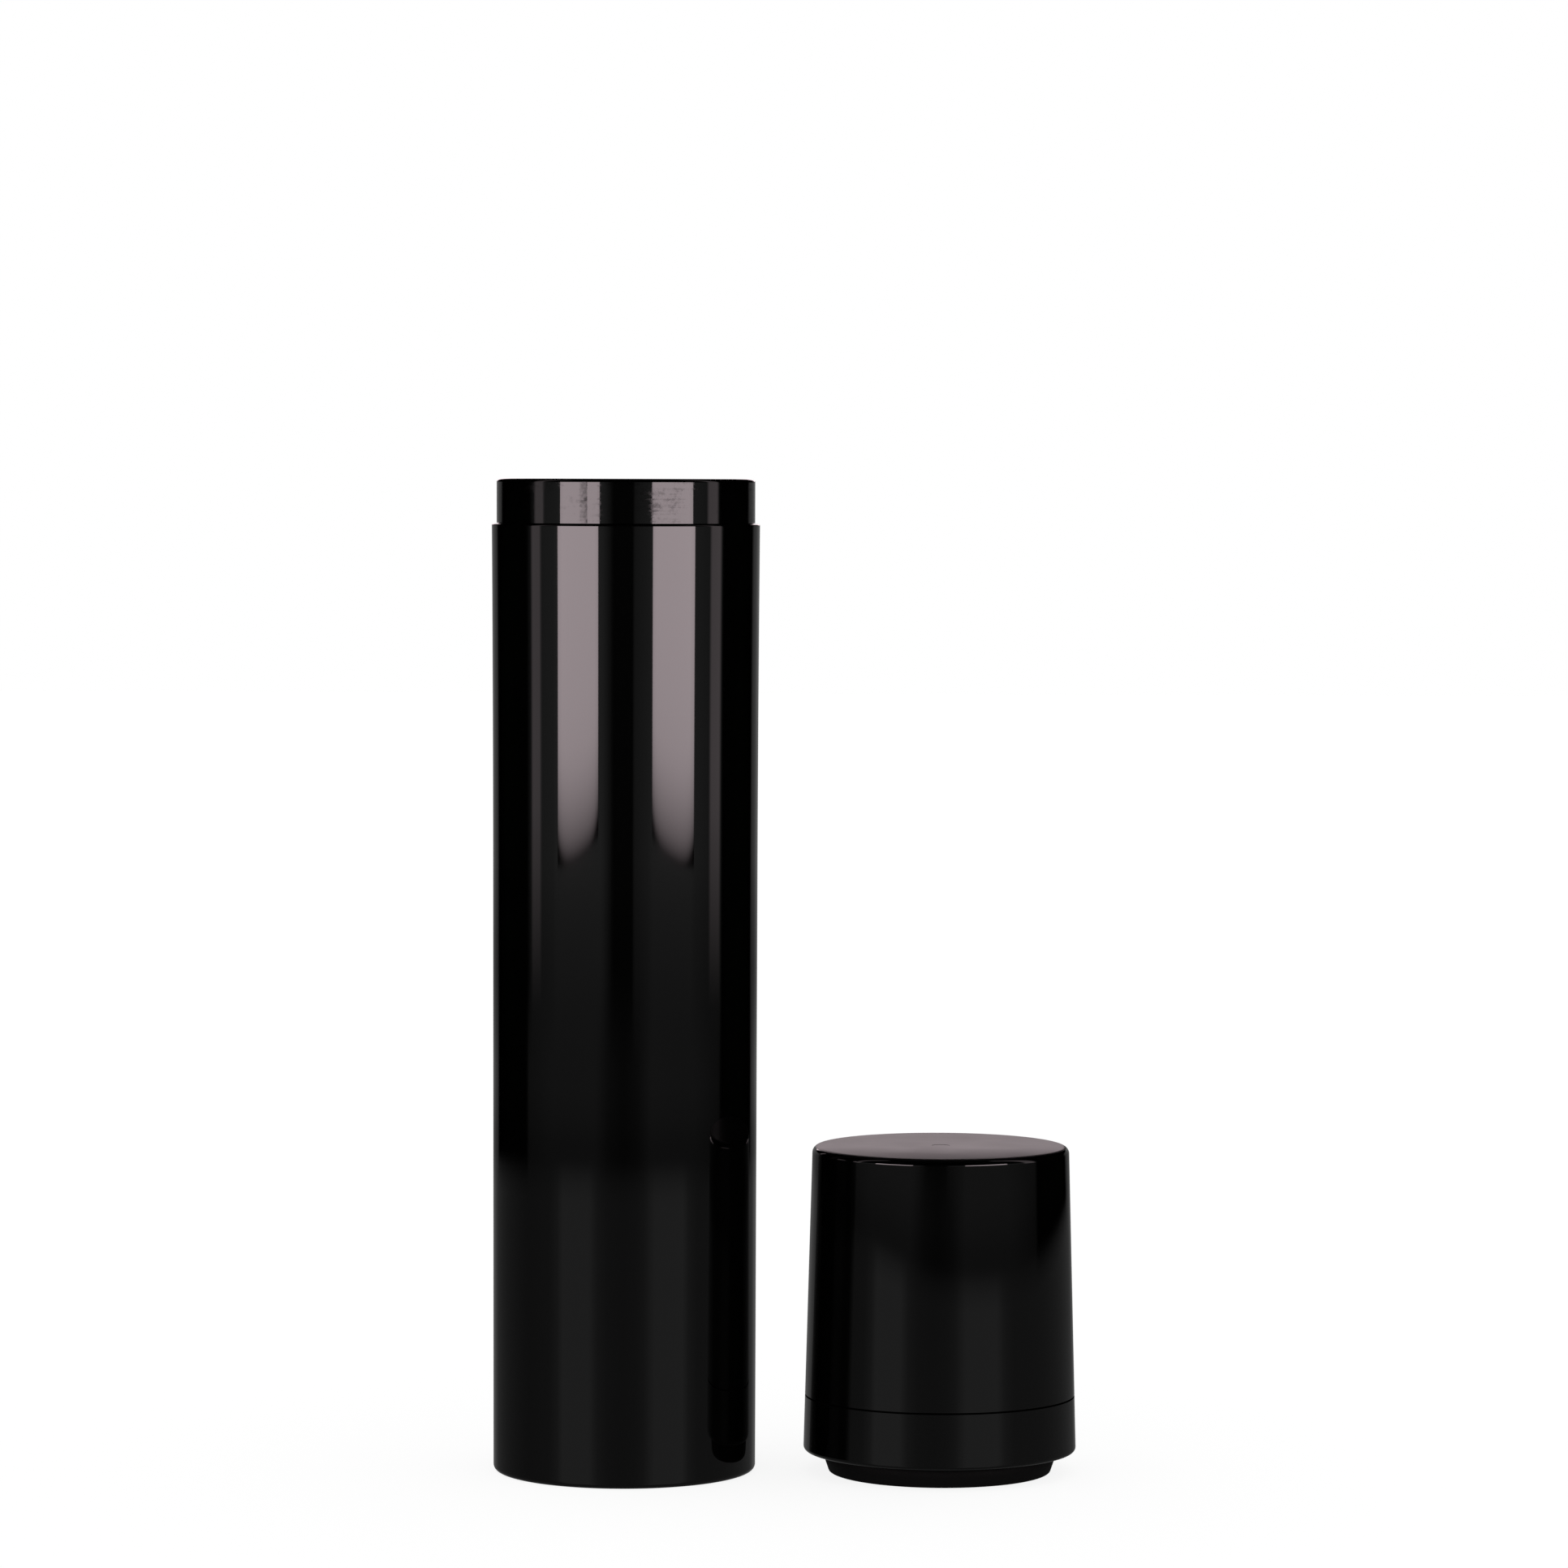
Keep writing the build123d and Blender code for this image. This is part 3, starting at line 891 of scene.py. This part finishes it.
def glow(name, tint, strength, build=None):
    """A surface that only glows. `build` makes a level that multiplies its strength."""
    material, tree = blank_material(name)
    if build:
        strength = add_node(tree, "ShaderNodeMath",
                            {"operation": "MULTIPLY", 0: build(tree), 1: strength})
    shader = add_node(tree, "ShaderNodeEmission", {"Color": (*tint, 1), "Strength": strength})
    add_node(tree, "ShaderNodeOutputMaterial", {"Surface": shader})
    return material


def finish_card(obj, name, material):
    """Makes a glowing card that shows in glossy reflections and nowhere else: it lights nothing and casts
    no shade.
    """
    obj.name = name
    obj.data.materials.append(material)
    obj.visible_camera = False
    obj.visible_diffuse = False
    obj.visible_transmission = False
    obj.visible_volume_scatter = False
    obj.visible_shadow = False


def ramp_by_height(tree, stops):
    """A level by the height above the floor, given as (millimetres, level)."""
    low, high = stops[0][0] * MM, stops[-1][0] * MM
    share = add_node(tree, "ShaderNodeMapRange",
                     {"From Min": low, "From Max": high, "Value": own_axes(tree)[2]})
    return add_node(tree, "ShaderNodeValToRGB", {"Fac": share},
                    [((z * MM - low) / (high - low), grey) for z, grey in stops])


def ramp_by_bearing(tree, stops):
    """A level by the direction round the set, given as (degrees, level)."""
    place = add_node(tree, "ShaderNodeTexCoord")
    turned = add_node(tree, "ShaderNodeMapping",
                      {"Rotation": (0, 0, math.pi / 2), "Vector": place.outputs["Object"]})
    radial = add_node(tree, "ShaderNodeTexGradient", {"gradient_type": "RADIAL", "Vector": turned})
    return add_node(tree, "ShaderNodeValToRGB", {"Fac": radial.outputs["Fac"]},
                    [(bearing(degrees), grey) for degrees, grey in stops])


def shaded_by(tree, bearings, heights):
    """A level by the direction round the set, times one by the height above the floor."""
    return add_node(tree, "ShaderNodeMath", {
        "operation": "MULTIPLY", 0: ramp_by_bearing(tree, bearings), 1: ramp_by_height(tree, heights),
    })


class CANISTER_OT_studio(bpy.types.Operator):
    """Set up the floor, the white background, the softboxes, the dark flags that glow as painted
    reflections, and the camera
    """

    bl_idname = "canister.studio"
    bl_label = "Studio"

    # Softbox ends, left and right, as seen from above.
    BOXES = (
        ("left", (-0.2031, -0.5112), (-0.3914, -0.2416)),
        ("right", (0.2240, -0.5027), (0.4060, -0.2147)),
    )
    # A softbox's foot, in metres: how far up its light fades in, and how much higher that
    # begins at the two corners, growing as this power of the way out. Then the brightness
    # up from the foot, as shares of the fade.
    FOOT_FADE = 0.082
    FOOT_CURVE = 0.004
    FOOT_POWER = 5.0
    FOOT_LEVELS = (
        (0.0, 0.0), (0.012, 0.06), (0.035, 0.2), (0.062, 0.34), (0.115, 0.53), (0.168, 0.69),
        (0.22, 0.81), (0.27, 0.88), (0.37, 0.93), (0.55, 0.965), (0.8, 0.99), (1.0, 1.0),
    )
    # A softbox's brightness across, from one side to the other.
    SIDE_LEVELS = ((0.0, 0.1), (0.012, 0.9), (0.1, 1.0), (0.9, 1.0), (0.988, 0.9), (1.0, 0.1))
    # How bright the flags glow round the set, as painted reflections, by bearing in degrees:
    # high up, and near the level of the floor. The last table is for the dim table in front of them.
    HIGH_LEVELS = (
        (-180, 0.2), (-165, 0.18), (-157, 0.15), (-152, 0.12), (-146, 0.105), (-143, 0.05), (-141, 0.0),
        (-92, 0.0), (-85, 0.14), (-63, 0.2), (-60, 0.24), (-22, 0.25), (-19, 0.25), (-12, 0.09),
        (-9, 0.015), (7, 0.015), (9, 0.13), (22, 0.2), (24, 0.24), (60, 0.24), (63, 0.2), (79, 0.14),
        (91, 0.14), (93, 0.0), (140, 0.0), (142, 0.06), (145, 0.11), (152, 0.13), (157, 0.165),
        (165, 0.22), (180, 0.22),
    )
    LEVEL_LEVELS = (
        (-180, 0.17), (-165, 0.16), (-157, 0.15), (-152, 0.12), (-146, 0.11), (-143, 0.05), (-141, 0.0),
        (-93, 0.0), (-90, 0.07), (-63, 0.125), (-24, 0.137), (-12, 0.06), (0, 0.036), (12, 0.06),
        (24, 0.137), (63, 0.125), (90, 0.06), (93, 0.0), (141, 0.0), (144, 0.06), (148, 0.12),
        (155, 0.15), (165, 0.2), (180, 0.2),
    )
    LOW_LEVELS = (
        (-180, 0.16), (-165, 0.16), (-155, 0.14), (-150, 0.118), (-143, 0.08), (-90, 0.075), (-66, 0.105),
        (-58, 0.16), (-53, 0.26), (-29, 0.265), (-22, 0.15), (-13, 0.11), (0, 0.1),
        (11, 0.11), (18, 0.14), (27, 0.26), (52, 0.265), (58, 0.16), (66, 0.115),
        (90, 0.1), (143, 0.09), (150, 0.11), (155, 0.165), (180, 0.17),
    )
    # Higher than the softboxes, all is dark but a white sheet behind, which glows as a painted reflection
    # and gives the satin top its sheen.
    SHEET_LEVELS = (
        (-180, 1.0), (-168, 1.0), (-162, 0.0), (162, 0.0), (168, 1.0), (180, 1.0),
    )
    SHEET_FALL = ((150, 0.0), (165, 1.0), (290, 1.0), (310, 0.0))
    # Two narrow strips of light among the flags.
    STRIP_LEVELS = (
        (-180, 0.0), (-86.8, 0.0), (-85.3, 0.62), (-77.3, 0.62), (-75.3, 0.0),
        (77.7, 0.0), (79.7, 0.75), (89.2, 0.75), (91.2, 0.0), (180, 0.0),
    )
    STRIP_FALL = (
        (12, 0.0), (19, 0.1), (26.5, 0.27), (34, 0.43), (41, 0.58), (48.6, 0.73), (56, 0.93), (66, 1.0),
    )
    # How the flags fade downwards, in millimetres above the floor, where their high levels
    # take over from the floor's, and where they end.
    FLAG_FALL = ((0, 0.57), (9, 0.575), (18, 0.63), (27, 0.71), (36, 0.83), (45, 1.0))
    FLAG_BLEND = ((-2, 0.0), (20, 1.0))
    FLAG_TOP = ((138, 1.0), (144, 0.0))
    # The dim table's far edge: how much it hides of what is behind it, and how bright it is.
    TABLE_HIDES = ((-2, 1.0), (1, 0.85), (3.3, 0.6), (6, 0.33), (9, 0.3), (13, 0.14), (19, 0.0))
    TABLE_FALL = ((-2, 1.0), (1, 0.89), (3.3, 0.69), (6, 0.0))
    # The cards over and under the set, and how bright they are.
    OVER_LEVEL = 0.004
    UNDER_LEVEL = 0.1
    RING_SIDES = 180
    # The share of the background's brightness that lights the set, the share of the floor
    # that takes light and shadow, and what is added to the rest to keep it white.
    AMBIENT = 0.9
    FLOOR_SHADE = 0.15
    FLOOR_LIFT = 0.01
    FLOOR_WIDTH = 6.0

    def execute(self, context):
        scene = context.scene
        studio = scene.canister_studio
        scene.view_settings.view_transform = "Standard"
        self.light_world(scene, studio)
        self.lay_floor(studio)
        for box in self.BOXES:
            self.hang_softbox(studio, *box)
        self.hang_flags(studio)
        self.set_camera(scene, studio)
        return {"FINISHED"}

    def background_rays(self, tree):
        """1 for the rays that show the background itself or show it in gloss or glass."""
        path = add_node(tree, "ShaderNodeLightPath").outputs
        shown = add_node(tree, "ShaderNodeMath", {
            "operation": "MAXIMUM", 0: path["Is Camera Ray"], 1: path["Is Glossy Ray"],
        })
        return add_node(tree, "ShaderNodeMath", {
            "operation": "MAXIMUM", 0: shown, 1: path["Is Transmission Ray"],
        })

    def light_world(self, scene, studio):
        world = bpy.data.worlds.new("studio_world")
        scene.world = world
        world.use_nodes = True
        tree = world.node_tree
        tree.nodes.clear()
        strength = add_node(tree, "ShaderNodeMapRange", {
            "To Min": self.AMBIENT, "To Max": 1.0, "Value": self.background_rays(tree),
        })
        background = add_node(tree, "ShaderNodeBackground",
                              {"Color": (*studio.backdrop, 1), "Strength": strength})
        add_node(tree, "ShaderNodeOutputWorld", {"Surface": background})

    def lay_floor(self, studio):
        """A white floor: mostly its own plain white, with enough of the light to keep a shadow."""
        material, tree = blank_material("white_floor")
        diffuse = add_node(tree, "ShaderNodeBsdfDiffuse",
                           {"Color": (*[self.FLOOR_SHADE * c for c in studio.backdrop], 1)})
        plain = add_node(tree, "ShaderNodeMath", {
            "operation": "MULTIPLY", 0: self.background_rays(tree),
            1: 1.0 - self.AMBIENT * self.FLOOR_SHADE + self.FLOOR_LIFT,
        })
        emission = add_node(tree, "ShaderNodeEmission",
                            {"Color": (*studio.backdrop, 1), "Strength": plain})
        both = add_node(tree, "ShaderNodeAddShader", {0: diffuse, 1: emission})
        add_node(tree, "ShaderNodeOutputMaterial", {"Surface": both})
        bpy.ops.object.select_all(action="DESELECT")
        bpy.ops.mesh.primitive_plane_add(size=self.FLOOR_WIDTH)
        floor = bpy.context.object
        floor.name = "floor"
        floor.data.materials.append(material)
        floor.visible_glossy = False

    def hang_softbox(self, studio, side, inner, outer):
        """An upright softbox, with a soft foot and firm sides."""
        width = math.dist(inner, outer)
        height = studio.box_top - studio.box_foot

        def build(tree):
            across, up, _ = own_axes(tree)
            out = add_node(tree, "ShaderNodeMath", {"operation": "ABSOLUTE", 0: across})
            out = add_node(tree, "ShaderNodeMath", {"operation": "MULTIPLY", 0: out, 1: 2 / width})
            curve = add_node(tree, "ShaderNodeMath", {"operation": "POWER", 0: out, 1: self.FOOT_POWER})
            drop = add_node(tree, "ShaderNodeMath",
                            {"operation": "MULTIPLY", 0: curve, 1: -self.FOOT_CURVE})
            lowered = add_node(tree, "ShaderNodeMath", {"operation": "ADD", 0: up, 1: drop})
            share = add_node(tree, "ShaderNodeMapRange", {
                "From Min": -height / 2, "From Max": -height / 2 + self.FOOT_FADE, "Value": lowered,
            })
            along = add_node(tree, "ShaderNodeMapRange",
                             {"From Min": -width / 2, "From Max": width / 2, "Value": across})
            return add_node(tree, "ShaderNodeMath", {
                "operation": "MULTIPLY",
                0: add_node(tree, "ShaderNodeValToRGB", {"Fac": share}, self.FOOT_LEVELS),
                1: add_node(tree, "ShaderNodeValToRGB", {"Fac": along}, self.SIDE_LEVELS),
            })

        material = glow("softbox_" + side, studio.box_colour, studio.box_brightness, build)
        bpy.ops.object.select_all(action="DESELECT")
        middle = [(a + b) / 2 for a, b in zip(inner, outer)]
        bpy.ops.mesh.primitive_plane_add(
            size=1, location=(*middle, (studio.box_top + studio.box_foot) / 2),
            rotation=(math.pi / 2, 0, math.atan2(outer[1] - inner[1], outer[0] - inner[0])),
        )
        box = bpy.context.object
        box.scale = (width, height, 1)
        bpy.ops.object.transform_apply(location=False, rotation=False, scale=True)
        finish_card(box, "softbox_" + side, material)

    def hang_flags(self, studio):
        """Dark flags all round, from under the floor's level to a dark lid over them: glowing
        cards seen only in gloss, which paint the reflections.

        The floor isn't seen in gloss. A dim glowing table stands in for it there, a painted
        reflection of the floor: a ring that comes up to the floor's level, with a soft edge.
        """
        low, high = -studio.flag_depth, studio.flag_height
        self.stand_ring("flags", studio.flag_radius, low, high, self.flag_material(studio))
        self.stand_ring("painted_floor_reflection", studio.table_radius, low, self.TABLE_HIDES[-1][0] * MM,
                        self.table_material(studio))
        # The cards over and under the set glow dimly: painted dark reflections.
        for name, place, grey in (("flag_over", high, self.OVER_LEVEL),
                                  ("flag_under", low, self.UNDER_LEVEL)):
            bpy.ops.object.select_all(action="DESELECT")
            bpy.ops.mesh.primitive_circle_add(
                vertices=self.RING_SIDES, radius=studio.flag_radius, fill_type="TRIFAN",
                location=(0, 0, place),
            )
            finish_card(bpy.context.object, name, glow("dark_" + name, studio.flag_colour, grey))

    def flag_material(self, studio):
        """The dark flags, glowing as painted reflections, with the two strips of light and the white
        sheet behind.
        """
        material, tree = blank_material("painted_reflection_flags")
        grey = add_node(tree, "ShaderNodeMixRGB", {
            "Fac": ramp_by_height(tree, self.FLAG_BLEND),
            "Color1": ramp_by_bearing(tree, self.LEVEL_LEVELS),
            "Color2": shaded_by(tree, self.HIGH_LEVELS, self.FLAG_FALL),
        })
        grey = add_node(tree, "ShaderNodeMath", {
            "operation": "MULTIPLY", 0: grey, 1: ramp_by_height(tree, self.FLAG_TOP),
        })
        sheet = add_node(tree, "ShaderNodeMath", {
            "operation": "MULTIPLY", 0: shaded_by(tree, self.SHEET_LEVELS, self.SHEET_FALL),
            1: studio.sheet_brightness,
        })
        bright = add_node(tree, "ShaderNodeMath", {
            "operation": "ADD", 0: shaded_by(tree, self.STRIP_LEVELS, self.STRIP_FALL), 1: sheet,
        })
        flags = add_node(tree, "ShaderNodeEmission",
                         {"Color": (*studio.flag_colour, 1), "Strength": grey})
        lights = add_node(tree, "ShaderNodeEmission",
                          {"Color": (*studio.box_colour, 1), "Strength": bright})
        both = add_node(tree, "ShaderNodeAddShader", {0: flags, 1: lights})
        add_node(tree, "ShaderNodeOutputMaterial", {"Surface": both})
        return material

    def table_material(self, studio):
        """The dim table that is seen in gloss, glowing as the floor's painted reflection. Its top edge
        lets the flags through.
        """
        material, tree = blank_material("painted_floor_reflection")
        dim = add_node(tree, "ShaderNodeEmission", {
            "Color": (*studio.flag_colour, 1),
            "Strength": shaded_by(tree, self.LOW_LEVELS, self.TABLE_FALL),
        })
        clear = add_node(tree, "ShaderNodeBsdfTransparent")
        mixed = add_node(tree, "ShaderNodeMixShader",
                         {0: ramp_by_height(tree, self.TABLE_HIDES), 1: clear, 2: dim})
        add_node(tree, "ShaderNodeOutputMaterial", {"Surface": mixed})
        return material

    def stand_ring(self, name, radius, low, high, material):
        """An upright ring round the set, from one height to another."""
        bpy.ops.object.select_all(action="DESELECT")
        bpy.ops.mesh.primitive_cylinder_add(
            vertices=self.RING_SIDES, radius=radius, depth=high - low, end_fill_type="NOTHING",
            location=(0, 0, (low + high) / 2),
        )
        bpy.ops.object.transform_apply(location=True, rotation=True, scale=True)
        finish_card(bpy.context.object, name, material)

    def set_camera(self, scene, studio):
        data = bpy.data.cameras.new("camera")
        camera = bpy.data.objects.new("camera", data)
        scene.collection.objects.link(camera)
        data.lens = studio.lens
        camera.location = (studio.camera_side, -studio.camera_distance, studio.camera_height)
        camera.rotation_mode = "ZXY"
        camera.rotation_euler = (math.pi / 2 - studio.camera_tilt, 0, studio.camera_lean)
        scene.camera = camera


PIECES = (
    CANISTER_OT_shell, CANISTER_OT_liner, CANISTER_OT_lid_cover,
    CANISTER_OT_lid_collar, CANISTER_OT_lid_plug, CANISTER_OT_seal_ring,
    CANISTER_OT_studio,
)


class CANISTER_PT_panel(bpy.types.Panel):
    """Lists the pieces and the studio"""

    bl_idname = "CANISTER_PT_panel"
    bl_label = "Canister"
    bl_space_type = "VIEW_3D"
    bl_region_type = "UI"
    bl_category = "Canister"

    def draw(self, context):
        layout = self.layout
        for piece in PIECES:
            layout.operator(piece.bl_idname)
        for name, group in GROUPS.items():
            box = layout.box()
            box.label(text=group.__doc__)
            for setting in group.__annotations__:
                box.prop(getattr(context.scene, name), setting)


def register():
    for group in GROUPS.values():
        bpy.utils.register_class(group)
    for operator in PIECES:
        bpy.utils.register_class(operator)
    bpy.utils.register_class(CANISTER_PT_panel)
    for name, group in GROUPS.items():
        setattr(bpy.types.Scene, name, bpy.props.PointerProperty(type=group))


def unregister():
    for name in GROUPS:
        delattr(bpy.types.Scene, name)
    bpy.utils.unregister_class(CANISTER_PT_panel)
    for operator in reversed(PIECES):
        bpy.utils.unregister_class(operator)
    for group in reversed(GROUPS.values()):
        bpy.utils.unregister_class(group)


def main():
    """Models every piece and sets up the studio."""
    register()
    bpy.ops.canister.shell()
    bpy.ops.canister.liner()
    bpy.ops.canister.lid_cover()
    bpy.ops.canister.lid_collar()
    bpy.ops.canister.lid_plug()
    bpy.ops.canister.seal_ring()
    bpy.ops.canister.studio()


if __name__ == "__main__":
    main()
